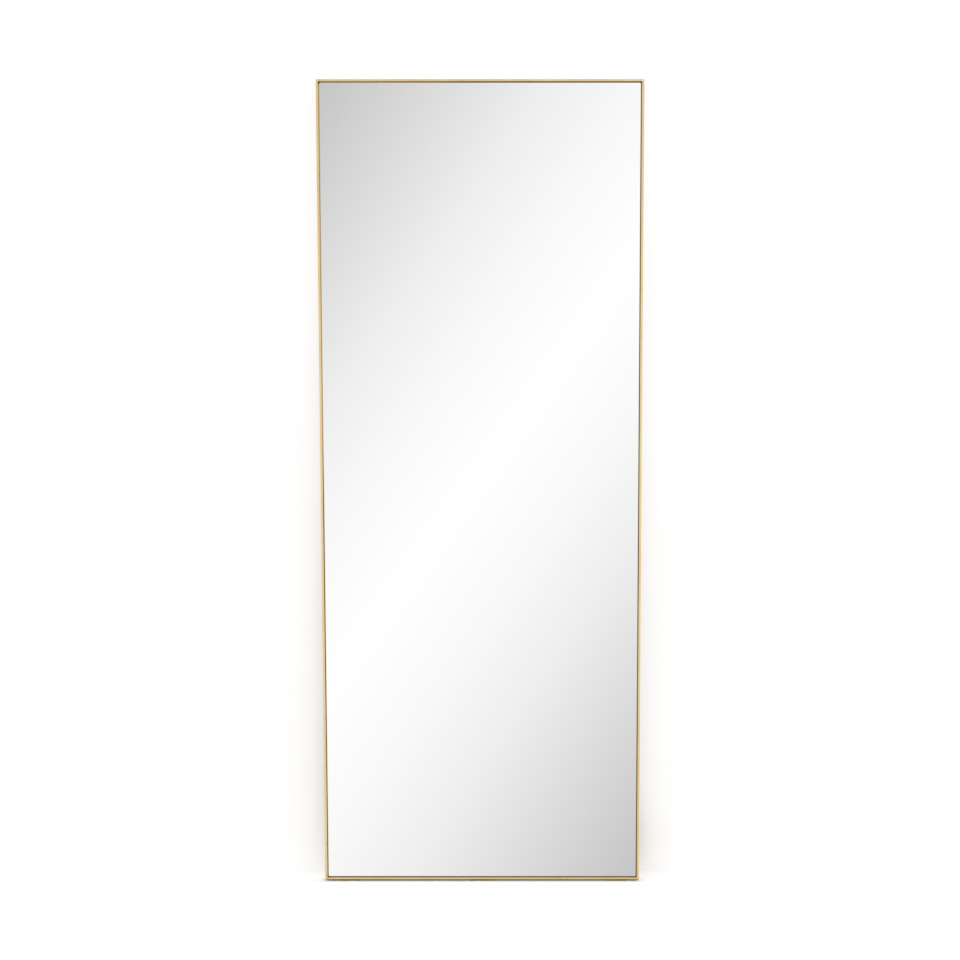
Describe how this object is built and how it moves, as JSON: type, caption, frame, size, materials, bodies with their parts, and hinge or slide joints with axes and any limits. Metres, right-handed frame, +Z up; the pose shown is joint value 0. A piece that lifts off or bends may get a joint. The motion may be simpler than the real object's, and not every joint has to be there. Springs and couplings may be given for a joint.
{
  "type": "floor mirror",
  "caption": "Tall plain floor mirror in a slim brass-coloured metal frame; it stands on pads, leans on wall bumpers and has folding hanging rings on its back.",
  "frame": {"origin": "on the floor, under the middle of the mirror's width and depth", "axes": "+Z up along the mirror's height, +Y back towards the wall, +X to the right as seen from the front; the mirror is stored upright and leans back about 2 degrees in use"},
  "size_m": [0.8, 0.031, 2.0025],
  "materials": {
    "brass_bar": "brass plate on steel, brushed along the bar and lacquered",
    "brass_plate": "brass plate on steel, unpolished",
    "mirror": "silvered on the back, edges ground",
    "black_sealant": "tooled silicone",
    "film": "thin adhesive film",
    "foam_tape": "closed-cell foam",
    "black_board": "fibreboard, painted black",
    "zinc_steel": "bright zinc plate",
    "screw_steel": "zinc plate",
    "black_rubber": "moulded, matt"
  },
  "bodies": {
    "mirror": {"backing_board": "black_board", "board_screws": "screw_steel", "edge_seal_bottom": "black_sealant", "edge_seal_left": "black_sealant", "edge_seal_right": "black_sealant", "edge_seal_top": "black_sealant", "floor_pad_left": "black_rubber", "floor_pad_middle": "black_rubber", "floor_pad_right": "black_rubber", "frame_bottom_rail": "brass_bar", "frame_left_stile": "brass_bar", "frame_right_stile": "brass_bar", "frame_top_rail": "brass_bar", "gusset_bottom_left": "brass_plate", "gusset_bottom_right": "brass_plate", "gusset_top_left": "brass_plate", "gusset_top_right": "brass_plate", "hanger_plate_left": "brass_plate", "hanger_plate_right": "brass_plate", "hanger_screws": "screw_steel", "hanger_strap_left": "zinc_steel", "hanger_strap_right": "zinc_steel", "mirror_glass": "mirror", "mounting_tape": "foam_tape", "safety_film": "film", "tab_bottom_rail": "brass_plate", "tab_top_rail": "brass_plate", "tabs_left_stile": "brass_plate", "tabs_right_stile": "brass_plate", "wall_bumpers_bottom": "black_rubber", "wall_bumpers_top": "black_rubber"},
    "left_ring": {"d_ring_left": "zinc_steel"},
    "right_ring": {"d_ring_right": "zinc_steel"}
  },
  "joints": [
    {"name": "left_ring_swing", "type": "hinge", "parent": "mirror", "child": "left_ring", "pos_m": [-0.366, 0.00995, 1.5335], "axis": [1, 0, 0], "range_deg": [0, 175]},
    {"name": "right_ring_swing", "type": "hinge", "parent": "mirror", "child": "right_ring", "pos_m": [0.366, 0.00995, 1.5335], "axis": [1, 0, 0], "range_deg": [0, 175]}
  ]
}
